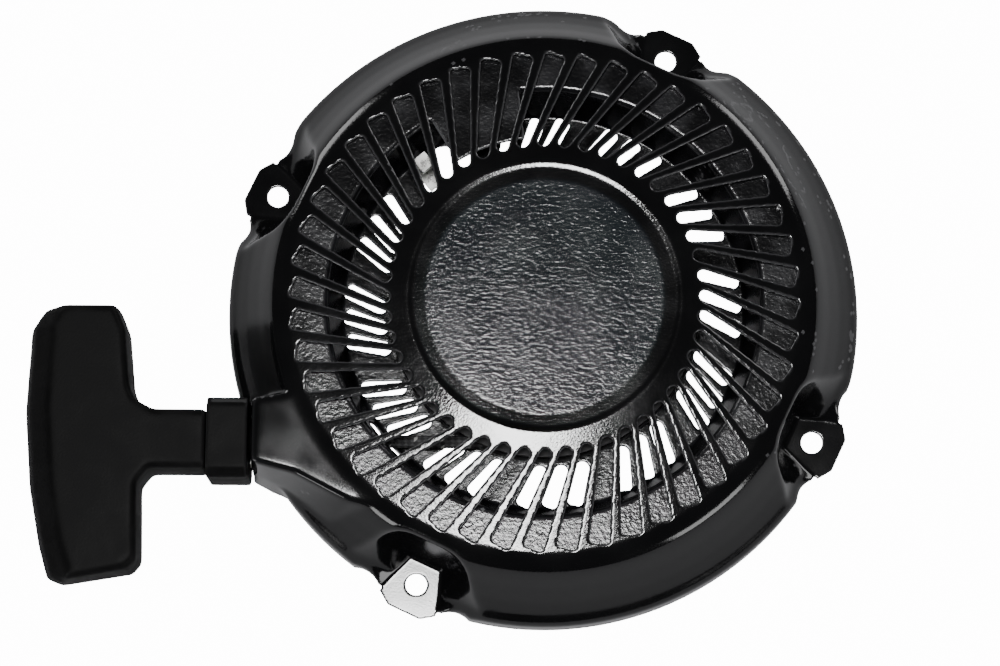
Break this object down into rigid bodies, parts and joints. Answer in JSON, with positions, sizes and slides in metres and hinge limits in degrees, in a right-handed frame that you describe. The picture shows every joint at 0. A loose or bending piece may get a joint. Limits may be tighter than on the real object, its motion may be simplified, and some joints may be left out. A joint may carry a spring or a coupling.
{
  "type": "recoil starter",
  "caption": "Pull-cord recoil starter: round black slotted steel housing with four mounting ears, rope reel with ratchets, and a T-handle.",
  "frame": {"origin": "centre of the four-hole bolt circle on the plane of the mounting ears", "axes": "+Z out of the housing's slotted front, away from the engine; the rope leaves and the handle sits towards -X"},
  "size_m": [0.2626, 0.2, 0.0383],
  "materials": {
    "housing_paint": "gloss black paint, slightly textured",
    "guard_paint": "dark grey textured paint",
    "zinc_steel": "zinc plated",
    "spring_steel": "oiled spring steel",
    "bronze": "sintered bronze",
    "black_plastic": "satin black",
    "reel_plastic": "glass-filled black",
    "rope_braid": "braided cord, black with pale flecks"
  },
  "bodies": {
    "housing": {"starter_case": "housing_paint", "inner_guard": "guard_paint", "guard_welds": "housing_paint", "anchor_bracket": "zinc_steel", "reel_post": "zinc_steel", "centre_screw": "zinc_steel", "thrust_washer": "zinc_steel", "retaining_clip": "spring_steel", "rope_outlet": "black_plastic", "rope_ferrule": "zinc_steel", "outlet_rivets": "zinc_steel", "rope_run": "rope_braid"},
    "reel_unit": {"reel": "reel_plastic", "reel_bush": "bronze", "spring_cup": "zinc_steel", "spring_cover": "zinc_steel", "spiral_spring": "spring_steel", "ratchet_pins": "zinc_steel", "ratchet_spring_a": "spring_steel", "ratchet_spring_b": "spring_steel", "rope_winding": "rope_braid", "rope_reel_knot": "rope_braid"},
    "handle": {"handle_grip": "black_plastic", "handle_plug": "black_plastic", "knot_washer": "zinc_steel", "rope_handle_knot": "rope_braid"},
    "guide": {"ratchet_guide": "zinc_steel", "friction_spring": "spring_steel"},
    "pawl_a": {"ratchet_a": "zinc_steel"},
    "pawl_b": {"ratchet_b": "zinc_steel"}
  },
  "joints": [
    {"name": "reel_spin", "type": "hinge", "parent": "housing", "child": "reel_unit", "pos_m": [0, 0, 0.021], "axis": [0, 0, -1], "range_deg": [0, 1620], "stiffness_Nm_per_rad": 0.012, "springref_deg": -721.93, "deforming": ["spiral_spring", "rope_winding"]},
    {"name": "handle_pull", "type": "slide", "parent": "housing", "child": "handle", "axis": [-1, 0, 0], "range_m": [0, 1.12], "deforming": ["rope_run"]},
    {"name": "guide_lag", "type": "hinge", "parent": "reel_unit", "child": "guide", "pos_m": [0, 0, 0.0095], "axis": [0, 0, 1], "range_deg": [0, 25], "stiffness_Nm_per_rad": 0.004, "springref_deg": -17.19},
    {"name": "ratchet_a_swing", "type": "hinge", "parent": "reel_unit", "child": "pawl_a", "pos_m": [0.022, 0, 0.0125], "axis": [0, 0, 1], "range_deg": [0, 30], "deforming": ["ratchet_spring_a"]},
    {"name": "ratchet_b_swing", "type": "hinge", "parent": "reel_unit", "child": "pawl_b", "pos_m": [-0.022, 0, 0.0125], "axis": [0, 0, 1], "range_deg": [0, 30], "deforming": ["ratchet_spring_b"]}
  ],
  "couplings": [
    {"joint": "handle_pull", "follows": "reel_spin", "m_per_rad": 0.0395},
    {"joint": "ratchet_a_swing", "follows": "guide_lag", "ratio": 1.2},
    {"joint": "ratchet_b_swing", "follows": "guide_lag", "ratio": 1.2}
  ]
}
